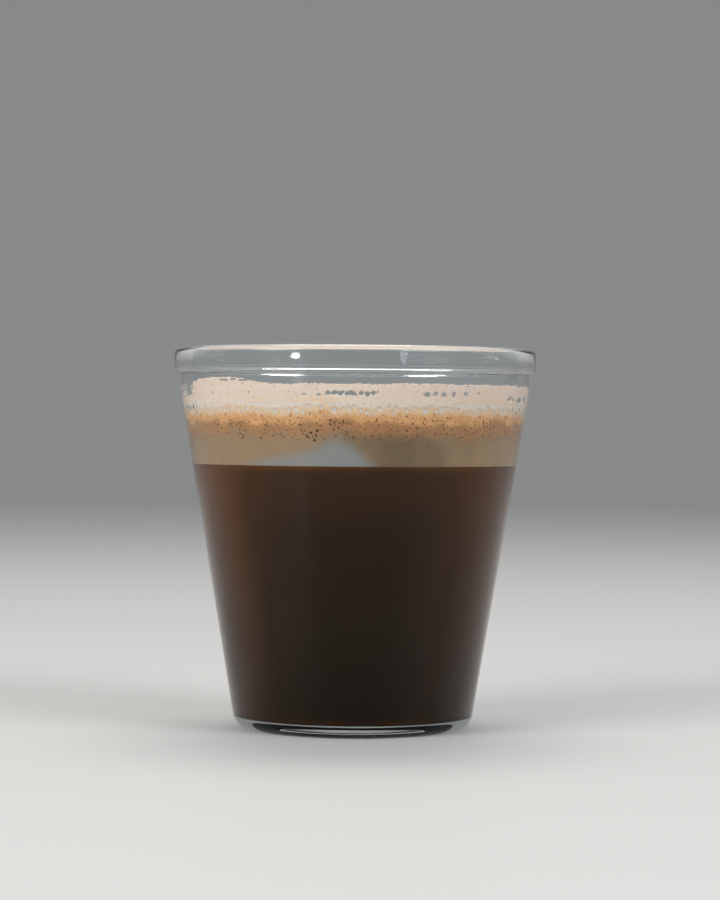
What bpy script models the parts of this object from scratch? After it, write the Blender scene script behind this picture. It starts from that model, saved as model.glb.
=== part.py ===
"""A cappuccino in a clear glass tumbler, at its real size, in metres, +Z up.

The tumbler tapers to a round foot and has a thick band round its rim. It holds brown
coffee, a deep layer of milk foam on the coffee, and the skin of froth that the foam left
on the glass as it sank. The origin is the middle of the foot, on the table, and -Y is the
near side. Angles round the glass are counted from +X towards +Y.
"""

import math
import random

import bpy
from mathutils import Matrix

# Tumbler, outside
HEIGHT = 0.0920
RIM_RADIUS = 0.0440
BAND_HEIGHT = 0.0057
BAND_TOP_ROUND = 0.0015
BAND_LOWER_ROUND = 0.0009
BAND_FILLET = 0.0006
COLLAR_RADIUS = 0.0423
COLLAR_LOW_Z = 0.08135
FOOT_LINE_RADIUS = 0.02869
FOOT_ROUND = 0.0036
FOOT_RING_WIDTH = 0.0030
PUSH_UP = 0.0003
PUSH_UP_SHAPE = ((0.86, 0.72), (0.55, 0.95), (0.0, 1.0))

# Tumbler, inside
WALL = 0.0027
FLOOR = 0.0026
FLOOR_ROUND = 0.0035

# Coffee and foam
GAP = 0.0003
COFFEE_LEVEL = 0.0641
FOAM_LEVEL = 0.0790
FOAM_SIDE_RING = 0.0745
FOAM_DIP = 0.0007
FOAM_RING_SHARES = (0.0, 0.2, 0.4, 0.6, 0.78, 0.93)
FOAM_RELIEF = 0.00025
BROAD_WAVES = (150, 170)
SLANTING_WAVE = (260, 210)

# Bubbles that stand on the foam
RING_BUBBLES = 50
INNER_BUBBLES = 22
BUBBLE_RADIUS = (0.0006, 0.0012)
INNER_BUBBLE_RADIUS = (0.0006, 0.0010)
BUBBLE_CLEARANCE = 0.0003
BUBBLE_STRAY = 0.0006
INNER_REACH = (0.012, 0.034)
BUBBLE_SINK = 0.15

# Hollows in the foam, of bubbles that lie against the glass
WALL_PITS = 42
PIT_RADIUS = (0.0007, 0.0011)
PIT_BAND = (0.0759, 0.0776)
PIT_DEPTH_SHARE = 0.55
LOW_PITS = 5
LOW_PITS_TURN = -104
LOW_PITS_Z = 0.0712
LOW_PITS_REACH = 0.0016
LOW_PIT_RADIUS = 0.0006
LOW_PIT_DEPTH_SHARE = 0.7

# Froth skin
FILM_THICKNESS = 0.0006
FILM_TOP = 0.0832
FILM_EDGE_DEPTH = 0.0005
FILM_STRETCHES = ((218, 16, 0.00135), (74, 52, -0.0026))
FILM_WAVES = ((5, 0.0001, 0.8), (11, 0.0001, 2.1))
FILM_HOLE_RUNS = ((-100, -80, 4, 0.0026), (-64, -44, 3, 0.0026), (-20, -20, 1, 0.0026), (12, 12, 1, 0.0110))
FILM_HOLE_Z = 0.0810
FILM_HOLE_HEIGHT = 0.0012
FILM_HOLE_REACH = 0.003
FILM_HOLE_RISE = 0.0003

SIDES = 64
BALL_SIDES = 8
BALL_RINGS = 4
BALL_TURNS = (900, 700)
SEED = 7
MERGE = 0.00001

TAPER = math.atan((COLLAR_RADIUS - FOOT_LINE_RADIUS) / COLLAR_LOW_Z)
INNER_COLLAR_RADIUS = COLLAR_RADIUS - WALL
INNER_COLLAR_LOW_Z = (INNER_COLLAR_RADIUS + WALL / math.cos(TAPER) - FOOT_LINE_RADIUS) / math.tan(TAPER)


def clear_scene():
    for obj in list(bpy.data.objects):
        bpy.data.objects.remove(obj, do_unlink=True)


def make_collection(name):
    collection = bpy.data.collections.new(name)
    bpy.context.scene.collection.children.link(collection)
    return collection


def make_material(name, colour, roughness, transmission=0.0):
    material = bpy.data.materials.new(name)
    material.use_nodes = True
    shader = material.node_tree.nodes["Principled BSDF"]
    shader.inputs["Base Color"].default_value = (*colour, 1.0)
    shader.inputs["Roughness"].default_value = roughness
    shader.inputs["Metallic"].default_value = 0.0
    shader.inputs["Transmission Weight"].default_value = transmission
    return material


def outer_line(z):
    """Radius of the tapered outer wall, carried straight down to the table."""
    return FOOT_LINE_RADIUS + z * math.tan(TAPER)


def inner_line(z):
    """Radius of the inner wall: the taper one wall in from the outer one, then the straight collar."""
    return min(outer_line(z) - WALL / math.cos(TAPER), INNER_COLLAR_RADIUS)


def arc(centre, radius, start, end, steps):
    """Points (radius, height) of a round corner, from angle start to end in degrees."""
    points = []
    for i in range(steps + 1):
        turn = math.radians(start + (end - start) * i / steps)
        points.append((centre[0] + radius * math.cos(turn), centre[1] + radius * math.sin(turn)))
    return points


def floor_corner(offset):
    """The round corner between the inner floor and the inner wall, moved inwards by offset."""
    height = FLOOR + FLOOR_ROUND
    centre = (inner_line(height) - FLOOR_ROUND / math.cos(TAPER), height)
    return arc(centre, FLOOR_ROUND - offset, -90, -math.degrees(TAPER), 5)


def tumbler_profile():
    """Up the inside from the middle of the floor, over the rim, down the outside to the middle of the foot."""
    band_low = HEIGHT - BAND_HEIGHT
    top_centre = HEIGHT - BAND_TOP_ROUND
    foot_centre = (outer_line(FOOT_ROUND) - FOOT_ROUND / math.cos(TAPER), FOOT_ROUND)
    ring_inside = foot_centre[0] - FOOT_RING_WIDTH
    points = [(0.0, FLOOR)]
    points += floor_corner(0.0)
    points.append((INNER_COLLAR_RADIUS, INNER_COLLAR_LOW_Z))
    points += arc((INNER_COLLAR_RADIUS + BAND_TOP_ROUND, top_centre), BAND_TOP_ROUND, 180, 90, 4)
    points += arc((RIM_RADIUS - BAND_TOP_ROUND, top_centre), BAND_TOP_ROUND, 90, 0, 4)
    lower_centre = (RIM_RADIUS - BAND_LOWER_ROUND, band_low + BAND_LOWER_ROUND)
    points += arc(lower_centre, BAND_LOWER_ROUND, 0, -90, 3)
    points += arc((COLLAR_RADIUS + BAND_FILLET, band_low - BAND_FILLET), BAND_FILLET, 90, 180, 2)
    points.append((COLLAR_RADIUS, COLLAR_LOW_Z))
    points += arc(foot_centre, FOOT_ROUND, -math.degrees(TAPER), -90, 6)
    points.append((ring_inside, 0.0))
    points += [(ring_inside * reach, PUSH_UP * rise) for reach, rise in PUSH_UP_SHAPE]
    return points


def coffee_profile():
    """A solid that fills the tumbler up to the foam, one gap in from the glass."""
    top = COFFEE_LEVEL - GAP / 2
    corner = floor_corner(GAP)
    return [(0.0, top), (inner_line(top) - GAP, top)] + corner[::-1] + [(0.0, corner[0][1])]


def dished(share):
    """Height of the foam's top, which dips to its middle. The share is 0 there and 1 at the glass."""
    return FOAM_LEVEL - FOAM_DIP * (1 - share**2)


def foam_profile():
    """The foam's top, its side against the glass and its flat underside."""
    low = COFFEE_LEVEL + GAP / 2
    high = FOAM_LEVEL - GAP
    edge = inner_line(high) - GAP
    points = [(edge * share, dished(share)) for share in FOAM_RING_SHARES]
    for height in (high, FOAM_SIDE_RING, low):
        points.append((inner_line(height) - GAP, height))
    return points + [(0.0, low)]


def film_profile():
    """The froth skin's section: up its inner face, over its thin top edge and down its face on the glass."""
    low_outside = inner_line(FOAM_LEVEL) - GAP
    outside = INNER_COLLAR_RADIUS - GAP
    return [
        (low_outside - FILM_THICKNESS, FOAM_LEVEL),
        (outside - FILM_THICKNESS, INNER_COLLAR_LOW_Z),
        (outside - FILM_THICKNESS * 0.8, FILM_TOP - FILM_EDGE_DEPTH),
        (outside - FILM_THICKNESS * 0.4, FILM_TOP),
        (outside, FILM_TOP - FILM_EDGE_DEPTH / 2),
        (outside, INNER_COLLAR_LOW_Z),
        (low_outside, FOAM_LEVEL),
    ]


def turned(name, profile, collection, material, closed_loop=False):
    """An object turned round the Z axis from its profile of (radius, height) points."""
    mesh = bpy.data.meshes.new(name)
    edges = [(i, i + 1) for i in range(len(profile) - 1)]
    if closed_loop:
        edges.append((len(profile) - 1, 0))
    mesh.from_pydata([(x, 0.0, z) for x, z in profile], edges, [])
    mesh.materials.append(material)
    obj = bpy.data.objects.new(name, mesh)
    collection.objects.link(obj)
    screw = obj.modifiers.new("turn", "SCREW")
    screw.axis = "Z"
    screw.angle = math.tau
    screw.steps = SIDES
    screw.render_steps = SIDES
    screw.use_merge_vertices = True
    screw.merge_threshold = MERGE
    screw.use_smooth_shade = True
    return obj


def bake_modifiers(obj):
    """Replaces the object's mesh by the mesh that its modifiers make of it."""
    graph = bpy.context.evaluated_depsgraph_get()
    made = bpy.data.meshes.new_from_object(obj.evaluated_get(graph))
    made.name = obj.name
    obj.modifiers.clear()
    obj.data = made


def add_ball(name, place, radius, collection):
    """A small faceted ball, turned by an amount that depends on its place, so that no two look stamped."""
    bpy.ops.mesh.primitive_uv_sphere_add(
        segments=BALL_SIDES, ring_count=BALL_RINGS, radius=radius, location=place
    )
    ball = bpy.context.active_object
    ball.name = name
    for home in list(ball.users_collection):
        home.objects.unlink(ball)
    collection.objects.link(ball)
    about_z = Matrix.Rotation(place[0] * BALL_TURNS[0], 4, "Z")
    about_x = Matrix.Rotation(place[1] * BALL_TURNS[1], 4, "X")
    ball.data.transform(about_z @ about_x)
    ball.hide_render = True
    ball.display_type = "WIRE"
    return ball


def join_or_cut(obj, collection, operation):
    """Joins the collection's shapes to the object, or cuts them from it, and removes them."""
    boolean = obj.modifiers.new(operation.lower(), "BOOLEAN")
    boolean.operation = operation
    boolean.operand_type = "COLLECTION"
    boolean.collection = collection
    boolean.solver = "EXACT"
    bake_modifiers(obj)
    for tool in list(collection.objects):
        bpy.data.objects.remove(tool, do_unlink=True)
    bpy.data.collections.remove(collection)


def foam_height(x, y):
    """How far the foam's top rises over its turned form: two crossed waves and a finer slanting one."""
    broad = math.sin(BROAD_WAVES[0] * x + 0.7) * math.cos(BROAD_WAVES[1] * y - 0.4)
    slanting = math.sin(SLANTING_WAVE[0] * x + SLANTING_WAVE[1] * y + 1.9)
    return FOAM_RELIEF * (0.6 * broad + 0.4 * slanting)


def roughen_top(obj):
    """Lifts and lowers the points of the foam's top, and leaves those at its edge."""
    last_ring = FOAM_RING_SHARES[-1] * inner_line(FOAM_LEVEL)
    for vertex in obj.data.vertices:
        x, y, z = vertex.co
        if z > FOAM_LEVEL - 2 * FOAM_DIP and math.hypot(x, y) < last_ring:
            vertex.co.z += foam_height(x, y)


def bubble_places():
    """(reach, turn, radius) of each bubble: a ring of uneven ones by the glass, then a spiral inside it."""
    draw = random.Random(SEED)
    edge = inner_line(FOAM_LEVEL) - GAP - FILM_THICKNESS - BUBBLE_CLEARANCE
    found = []
    for i in range(RING_BUBBLES):
        radius = draw.uniform(*BUBBLE_RADIUS)
        turn = math.tau * (i + draw.uniform(-0.15, 0.15)) / RING_BUBBLES
        found.append((edge - radius - draw.uniform(0.0, BUBBLE_STRAY), turn, radius))
    golden = math.pi * (3 - math.sqrt(5))
    for i in range(INNER_BUBBLES):
        share = math.sqrt((i + 0.5) / INNER_BUBBLES)
        reach = INNER_REACH[0] + share * (INNER_REACH[1] - INNER_REACH[0])
        found.append((reach, i * golden, draw.uniform(*INNER_BUBBLE_RADIUS)))
    return found


def add_bubbles(obj):
    """Joins low round bubbles to the foam's top."""
    bubbles = make_collection("bubbles")
    for number, (reach, turn, radius) in enumerate(bubble_places()):
        height = dished(reach / inner_line(FOAM_LEVEL)) - BUBBLE_SINK * radius
        place = (reach * math.cos(turn), reach * math.sin(turn), height)
        add_ball(f"bubble_{number}", place, radius, bubbles)
    join_or_cut(obj, bubbles, "UNION")


def low_pit_places():
    """(turn, height) of the crowd of low hollows on the near side, in a spiral round its middle."""
    golden = math.pi * (3 - math.sqrt(5))
    places = []
    for i in range(LOW_PITS):
        away = LOW_PITS_REACH * math.sqrt((i + 0.5) / LOW_PITS)
        across = away * math.cos(i * golden) / inner_line(LOW_PITS_Z)
        places.append((math.radians(LOW_PITS_TURN) + across, LOW_PITS_Z + away * math.sin(i * golden)))
    return places


def add_pits(obj):
    """Cuts the round hollows of the bubbles that lie against the glass."""
    pits = make_collection("pits")
    draw = random.Random(SEED + 1)
    for i in range(WALL_PITS):
        radius = draw.uniform(*PIT_RADIUS)
        height = draw.uniform(*PIT_BAND)
        turn = math.tau * (i + draw.uniform(-0.2, 0.2)) / WALL_PITS
        reach = inner_line(height) - GAP + (1 - PIT_DEPTH_SHARE) * radius
        add_ball(f"pit_{i}", (reach * math.cos(turn), reach * math.sin(turn), height), radius, pits)
    for i, (turn, height) in enumerate(low_pit_places()):
        reach = inner_line(height) - GAP + (1 - LOW_PIT_DEPTH_SHARE) * LOW_PIT_RADIUS
        place = (reach * math.cos(turn), reach * math.sin(turn), height)
        add_ball(f"low_pit_{i}", place, LOW_PIT_RADIUS, pits)
    join_or_cut(obj, pits, "DIFFERENCE")


def film_top_shift(turn):
    """How much higher the froth skin's top edge is at this angle: a raised stretch, a low one and short waves.

    Each stretch has a middle and a width in degrees and a height.
    """
    shift = 0.0
    for middle, width, height in FILM_STRETCHES:
        away = (turn - math.radians(middle) + math.pi) % math.tau - math.pi
        shift += height * math.exp(-((away / math.radians(width)) ** 4))
    for count, height, phase in FILM_WAVES:
        shift += height * math.sin(count * turn + phase)
    return shift


def shape_film(obj):
    """Stretches the froth skin up or down from the foam to its top edge, and keeps it by the inner wall."""
    for vertex in obj.data.vertices:
        x, y, z = vertex.co
        share = (z - FOAM_LEVEL) / (FILM_TOP - FOAM_LEVEL)
        height = z + share * film_top_shift(math.atan2(y, x))
        reach = math.hypot(x, y)
        moved = (reach + inner_line(height) - inner_line(z)) / reach
        vertex.co = (x * moved, y * moved, height)


def film_holes():
    """(degrees, width) of each gap in the froth skin: runs of even steps from a first angle to a last one."""
    found = []
    for first, last, holes, width in FILM_HOLE_RUNS:
        step = (last - first) / max(holes - 1, 1)
        found += [(first + step * i, width) for i in range(holes)]
    return found


def open_film(obj):
    """Cuts the gaps where the froth skin has slid off the glass."""
    holes = make_collection("film_holes")
    for number, (degrees, width) in enumerate(film_holes()):
        turn = math.radians(degrees)
        rise = FILM_HOLE_RISE * math.sin(3.1 * number)
        across = Matrix.Rotation(turn, 4, "Z")
        reach = Matrix.Translation((INNER_COLLAR_RADIUS, 0.0, FILM_HOLE_Z + rise))
        shape = Matrix.Diagonal((FILM_HOLE_REACH, width / 2, FILM_HOLE_HEIGHT / 2, 1.0))
        ball = add_ball(f"film_hole_{number}", (0.0, 0.0, 0.0), 1.0, holes)
        ball.data.transform(across @ reach @ shape)
    join_or_cut(obj, holes, "DIFFERENCE")


def main():
    clear_scene()
    cappuccino = make_collection("cappuccino")
    clear_glass = make_material("clear_glass", (0.93, 0.97, 0.98), 0.02, 1.0)
    brown_coffee = make_material("brown_coffee", (0.075, 0.038, 0.017), 0.15)
    milk_foam = make_material("milk_foam", (0.66, 0.50, 0.34), 0.60)
    dried_froth = make_material("dried_froth", (0.74, 0.62, 0.50), 0.70)

    turned("tumbler", tumbler_profile(), cappuccino, clear_glass)
    turned("coffee", coffee_profile(), cappuccino, brown_coffee)

    foam = turned("foam", foam_profile(), cappuccino, milk_foam)
    bake_modifiers(foam)
    roughen_top(foam)
    add_bubbles(foam)
    add_pits(foam)

    film = turned("froth_film", film_profile(), cappuccino, dried_froth, closed_loop=True)
    bake_modifiers(film)
    shape_film(film)
    open_film(film)


main()
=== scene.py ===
"""The looks of a cappuccino in a clear glass tumbler, laid out as a Blender add-on.

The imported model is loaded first. Each operator then makes one piece, or one group of like
pieces, in the model's own frame: metres, +Z up, the origin in the middle of the foot, -Y the
near side. Angles round the glass are counted from +X towards +Y.
"""

import math
import random
from collections import namedtuple

import bpy
import numpy as np
from mathutils import Matrix, Vector


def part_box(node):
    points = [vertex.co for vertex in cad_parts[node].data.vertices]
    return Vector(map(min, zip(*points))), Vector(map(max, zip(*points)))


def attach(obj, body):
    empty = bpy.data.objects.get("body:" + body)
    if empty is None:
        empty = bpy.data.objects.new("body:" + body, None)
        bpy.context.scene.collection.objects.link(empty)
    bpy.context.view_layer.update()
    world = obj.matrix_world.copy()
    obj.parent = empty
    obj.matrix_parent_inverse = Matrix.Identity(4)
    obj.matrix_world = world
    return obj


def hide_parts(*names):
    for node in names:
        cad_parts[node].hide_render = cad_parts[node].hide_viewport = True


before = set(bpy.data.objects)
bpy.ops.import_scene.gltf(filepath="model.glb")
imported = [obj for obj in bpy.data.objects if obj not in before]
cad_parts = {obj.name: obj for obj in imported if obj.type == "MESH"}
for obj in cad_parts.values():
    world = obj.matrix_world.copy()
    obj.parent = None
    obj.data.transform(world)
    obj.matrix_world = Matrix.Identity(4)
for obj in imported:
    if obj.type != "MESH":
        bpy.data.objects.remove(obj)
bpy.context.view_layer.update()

bl_info = {
    "name": "Glass of cappuccino",
    "version": (1, 0, 0),
    "blender": (4, 5, 0),
    "location": "View3D > Sidebar > Cappuccino",
    "description": "Makes a cappuccino in a clear glass tumbler",
    "category": "Object",
}

TUMBLER_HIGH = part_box("tumbler")[1]
COFFEE_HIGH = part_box("coffee")[1]
FILM_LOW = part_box("froth_film")[0]
GOLDEN_TURN = math.pi * (3 - math.sqrt(5))

# How far the contents reach into the wall, and the air under the coffee, which lets the base mirror light.
# The air ends and the reach begins between these two angles of the inner corner, in degrees.
IN_WALL = 0.00006
FLOOR_AIR = 0.00004
MIRROR_TURN = (-57.0, -52.0)

# Foam: the drop at its edge, the bubbles and pores against the glass (amount, radii, heights, spacing),
# how deep their hollows go, the fine waves on its top and the share of light that spreads inside it
EDGE_DROP = 0.0002
LARGE_SCATTER = (150, (0.0005, 0.0009), (0.0765, 0.0780), 0.95)
SMALL_SCATTER = (900, (0.00025, 0.00045), (0.0756, 0.0786), 1.0)
PORE_SCATTER = (420, (0.00016, 0.00030), (0.0703, 0.0748), 1.5)
SCATTER_SEED = 11
SCATTER_TRIES = 6
SCATTER_Z = 0.077
LARGE_DEPTH = 0.0002
SMALL_DEPTH = 0.00008
PORE_DEPTH = 0.0003
FINE_RELIEF = 0.00008
SOFTNESS = 0.35

# Foam zones: heights between which each fades in, and the band that has pores
ZONE_BANDS = {
    "white": (0.0773, 0.0783),
    "cream": (0.0756, 0.0770),
    "crema": (0.0734, 0.0752),
    "tan": (0.0698, 0.0734),
}
POROUS_FROM = (0.0690, 0.0712)
POROUS_TO = (0.0768, 0.0755)

# Stretches where the crema sinks (degrees, width in degrees, depth), mounds of milk (x, width, height)
# and dark lobes (degrees, power: the higher, the narrower)
SUNK_STRETCHES = ((-58, 16, 0.0008), (-117, 12, 0.0006), (-95, 8, -0.0005))
MILK_MOUNDS = ((-0.0034, 0.0066, 0.0069), (-0.0150, 0.0090, 0.0032))
DARK_LOBES = ((-75, 14), (62, 8), (168, 12))

# Bubbles that stand on the foam, by the solid's own rule and seed
BUBBLE_SEED = 7
BUBBLE_RADIUS = (0.0006, 0.0012)
INNER_BUBBLE_RADIUS = (0.0006, 0.0010)
BUBBLE_CLEARANCE = 0.0012
BUBBLE_STRAY = 0.0006
INNER_REACH = (0.012, 0.034)
BUBBLE_SINK = 0.15
BALL_ROWS = 10
BALL_SIDES = 20

# The largest bubbles against the glass, in degrees, and the crowd of pores low on the near side
LARGEST_BUBBLES = (-110, -97, -66, -44)
LARGEST_BUBBLE_Z = 0.0770
LARGEST_BUBBLE_RADIUS = 0.0009
CROWD_PORES = 5
CROWD_TURN = -104
CROWD_Z = 0.0712
CROWD_REACH = 0.0016
CROWD_PORE_RADIUS = 0.0004

# Froth skin: the height of most holes, how far they stray, how ragged holes and edge are, how far its mesh
# goes below the foam's level and above the edge, and waves of the edge (times round, height, phase)
HOLE_Z = 0.0812
HOLE_SEED = 41
HOLE_RISE = 0.00015
HOLE_RAGGED = 0.45
EDGE_FALL = 0.0004
EDGE_RAGGED = 0.3
EDGE_ROUGH = 0.25
FILM_OVERLAP = 0.0004
FILM_HEADROOM = 0.0006
EDGE_WAVES = ((5, 0.00008, 0.8), (11, 0.00008, 2.1), (23, 0.00006, 0.0))


def length(name, description, default):
    return bpy.props.FloatProperty(
        name=name, description=description, default=default, min=0.0, precision=5, unit="LENGTH"
    )


def angle(name, description, degrees):
    return bpy.props.FloatProperty(
        name=name, description=description, default=math.radians(degrees), unit="ROTATION"
    )


def number(name, description, default):
    return bpy.props.FloatProperty(name=name, description=description, default=default, precision=4)


def count(name, description, default):
    return bpy.props.IntProperty(name=name, description=description, default=default, min=1)


def linear(value):
    """A screen value from 0 to 255 as linear light: a straight line for the darkest, then a power of 2.4."""
    share = value / 255
    return share / 12.92 if share <= 0.04045 else ((share + 0.055) / 1.055) ** 2.4


def colour(name, description, *screen):
    """A colour setting whose default is given as it shows on a screen, from 0 to 255."""
    return bpy.props.FloatVectorProperty(
        name=name, description=description, default=[linear(value) for value in screen],
        size=3, min=0.0, max=1.0, subtype="COLOR",
    )


class TumblerSettings(bpy.types.PropertyGroup):
    """Sizes and finish of the glass."""

    wall: length("Wall", "Thickness of the side wall", 0.0027)
    base: length("Base", "Height of the inner floor", 0.0026)
    base_round: length("Inner corner", "Radius between the inner floor and the wall", 0.0035)
    band_height: length("Band height", "Height of the thick band round the rim", 0.0057)
    band_step: length("Band step", "How far the band stands proud of the collar", 0.0017)
    band_top_round: length("Band top edge", "Radius of the band's top edges", 0.0015)
    band_lower_round: length("Band lower edge", "Radius of the band's lower edge", 0.0009)
    band_barrel: length("Band barrel", "How far the band's face swells in its middle", 0.00005)
    band_fillet: length("Band fillet", "Radius where the band meets the collar", 0.0006)
    collar_low: length("Collar", "Height at which the straight collar begins", 0.08135)
    foot_line: length("Foot line", "Radius of the outer taper, carried down to the table", 0.02869)
    foot_round: length("Foot edge", "Radius of the outer edge of the foot", 0.0036)
    foot_ring: length("Foot ring", "Width of the flat ring that it stands on", 0.0030)
    push_up: length("Push-up", "Height of the hollow under the foot", 0.0003)
    sides: count("Sides", "Steps round the glass", 288)
    gloss: number("Gloss", "Share of its full reflection that the glass gives when seen straight on", 0.3)
    tint: colour("Tint", "Colour of the glass", 250, 253, 254)
    shade: colour("Shade", "What the glass lets through of the lamps", 240, 243, 244)


class CoffeeSettings(bpy.types.PropertyGroup):
    """The coffee under the foam."""

    level: length("Level", "Height of the coffee's top", COFFEE_HIGH.z + 0.00015)
    # Warm, brown and deep make a painted ramp by height: painted light near the top, where light comes in,
    # and painted shade towards the base
    warm: colour("Warm brown", "Near the top, where light comes in", 46, 28, 12)
    brown: colour("Brown", "At a third of the depth", 30, 18, 7)
    deep: colour("Deep brown", "Near the base", 22, 14, 6)
    # Painted glow of light coming in round the sides, mixed in where the surface turns away from view
    painted_side_glow: colour("Amber", "Where light comes in round the sides", 88, 50, 14)
    streak: number("Streaks", "How much the brown changes round the glass", 0.5)
    sides: count("Sides", "Steps round the coffee", 256)


class FoamSettings(bpy.types.PropertyGroup):
    """The milk foam on the coffee."""

    level: length("Level", "Height of the foam at the glass", FILM_LOW.z)
    dip: length("Dip", "How far the foam's top dips to its middle", 0.0007)
    relief: length("Relief", "Height of the foam's slow waves", 0.00025)
    sides: count("Sides", "Steps round the foam", 1080)
    row: length("Row", "Height of a row of the foam's side", 0.00022)
    ring_bubbles: count("Ring bubbles", "How many bubbles stand on the foam by the glass", 50)
    inner_bubbles: count("Inner bubbles", "How many bubbles stand further in", 22)
    white: colour("White froth", "The top of the foam and its large bubbles", 212, 200, 190)
    cream: colour("Cream", "Between the large bubbles", 213, 184, 152)
    crema: colour("Crema", "The orange zone under the bubbles", 212, 161, 108)
    tan: colour("Tan", "Under the crema", 160, 115, 76)
    beige: colour("Beige", "The smooth lower foam", 142, 119, 93)
    shade: colour("Shade", "The lower foam where coffee shows through", 100, 86, 66)
    milk: colour("Milk", "The milk that rises from the coffee", 124, 131, 132)
    pore: colour("Pore", "Inside the pores", 92, 54, 24)


class FrothSettings(bpy.types.PropertyGroup):
    """The skin of froth left on the glass."""

    thickness: length("Thickness", "Thickness of the skin", 0.0004)
    top: length("Top", "Height of its upper edge at the front", 0.0832)
    rise: length("Rise", "How much higher the edge is on its high side", 0.00135)
    dip: length("Dip", "How much lower the edge is on the far side", 0.0026)
    cell: length("Cell", "Size of the skin's mesh cells", 0.0002)
    pale: colour("Pale froth", "The skin", 210, 194, 182)
    warm: colour("Warm froth", "Speckles in the skin", 208, 180, 157)
    speck: colour("Specks", "Pinholes in the skin", 104, 94, 88)


class StageSettings(bpy.types.PropertyGroup):
    """Camera, lights and floor."""

    distance: length("Camera distance", "From the camera to the tumbler's axis", 0.634)
    height: length("Camera height", "Above the floor", 0.0759)
    lens: number("Lens", "Focal length in millimetres", 104.0)
    pitch: angle("Pitch", "How far the camera looks down", 0.77)
    yaw: angle("Yaw", "How far it looks to the right", 0.119)
    roll: angle("Roll", "How far it leans to the left", 0.45)
    floor: colour("Floor", "The pale floor", 198, 197, 195)
    world: colour("Surround", "The light from all round", 205, 208, 212)
    world_strength: number("Surround strength", "Strength of that light", 0.62)


def settings(name):
    return getattr(bpy.context.scene, f"cappuccino_{name}")


def taper(glass):
    """Slope of the outer wall, as an angle from the vertical."""
    collar = TUMBLER_HIGH.x - glass.band_step
    return math.atan((collar - glass.foot_line) / glass.collar_low)


def inner_radius(height):
    """Radius of the inner wall: the outer taper less one wall, up to the straight collar."""
    glass = settings("tumbler")
    slope = taper(glass)
    sloped = glass.foot_line + np.asarray(height) * math.tan(slope) - glass.wall / math.cos(slope)
    return np.minimum(sloped, TUMBLER_HIGH.x - glass.band_step - glass.wall)


def arc(centre, radius, start, end, steps):
    """Points of a round corner: centre + radius (cos, sin) of angles in equal steps, in degrees."""
    turn = np.radians(np.linspace(start, end, steps + 1))
    return np.stack([centre[0] + radius * np.cos(turn), centre[1] + radius * np.sin(turn)], axis=1)


def waves(points, size, seed, terms=24):
    """Smooth noise: the sum of sine waves in seeded random directions, of lengths near size."""
    draw = np.random.default_rng(seed)
    directions = draw.normal(size=(terms, 3))
    directions /= np.linalg.norm(directions, axis=1, keepdims=True)
    lengths = size * draw.uniform(0.7, 1.5, terms)
    phases = draw.uniform(0.0, math.tau, terms)
    turns = points @ (directions / lengths[:, None]).T * math.tau + phases
    return np.sin(turns).sum(axis=-1) / math.sqrt(2 * terms)


def smooth_step(low, high, value):
    """0 below low, 1 above high, and 3 t^2 - 2 t^3 between them."""
    t = np.clip((value - low) / (high - low), 0.0, 1.0)
    return t * t * (3 - 2 * t)


def mesh_object(name, points, faces):
    """An object from an array of points and a list of face arrays, each with its own corner count."""
    mesh = bpy.data.meshes.new(name)
    corners = np.concatenate([part.ravel() for part in faces]).astype(np.int32)
    sizes = np.concatenate([np.full(len(part), part.shape[1]) for part in faces])
    starts = np.concatenate([[0], np.cumsum(sizes)[:-1]]).astype(np.int32)
    mesh.vertices.add(len(points))
    mesh.vertices.foreach_set("co", np.asarray(points, np.float32).ravel())
    mesh.loops.add(len(corners))
    mesh.loops.foreach_set("vertex_index", corners)
    mesh.polygons.add(len(starts))
    mesh.polygons.foreach_set("loop_start", starts)
    mesh.update(calc_edges=True)
    mesh.shade_smooth()
    made = bpy.data.objects.new(name, mesh)
    bpy.context.scene.collection.objects.link(made)
    return made


def ring_points(radius, height, sides):
    """Grid of points (radius cos turn, radius sin turn, height), one row for each profile point."""
    turn = np.arange(sides) * math.tau / sides
    radius = radius[:, None] if np.ndim(radius) == 1 else radius
    height = height[:, None] if np.ndim(height) == 1 else height
    x = radius * np.cos(turn)
    y = radius * np.sin(turn)
    return np.stack([x, y, np.broadcast_to(height, x.shape)], axis=2)


def ring_quads(rows, sides):
    """Quads between each ring of points and the next, all the way round."""
    row, side = np.meshgrid(np.arange(rows - 1), np.arange(sides), indexing="ij")
    here = (row * sides + side).ravel()
    beside = (row * sides + (side + 1) % sides).ravel()
    return np.stack([here, here + sides, beside + sides, beside], axis=1)


def ring_faces(rows, sides):
    """Faces of a closed surface: quads between the rings, and at each end a fan to its end point."""
    quads = ring_quads(rows, sides)
    side = np.arange(sides)
    after = (side + 1) % sides
    last = (rows - 1) * sides
    first_pole = np.full(sides, rows * sides)
    first_fan = np.stack([first_pole, side, after], axis=1)
    last_fan = np.stack([first_pole + 1, last + after, last + side], axis=1)
    return [quads, first_fan, last_fan]


def closed_rings(name, rings, first_height, last_height):
    """An object from rings of points, closed at each end to a point on the axis."""
    points = np.concatenate([rings.reshape(-1, 3), [[0, 0, first_height], [0, 0, last_height]]])
    return mesh_object(name, points, ring_faces(*rings.shape[:2]))


def set_attribute(piece, name, values):
    attribute = piece.data.attributes.new(name, "FLOAT", "POINT")
    attribute.data.foreach_set("value", np.asarray(values, np.float32).ravel())


def finish_piece(piece, material, slot, *nodes):
    """Gives the piece its material, ties it to the one body and hides the nodes it stands for. The slot is
    not used.
    """
    piece.data.materials.append(material)
    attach(piece, "root")
    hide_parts(*nodes)


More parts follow.
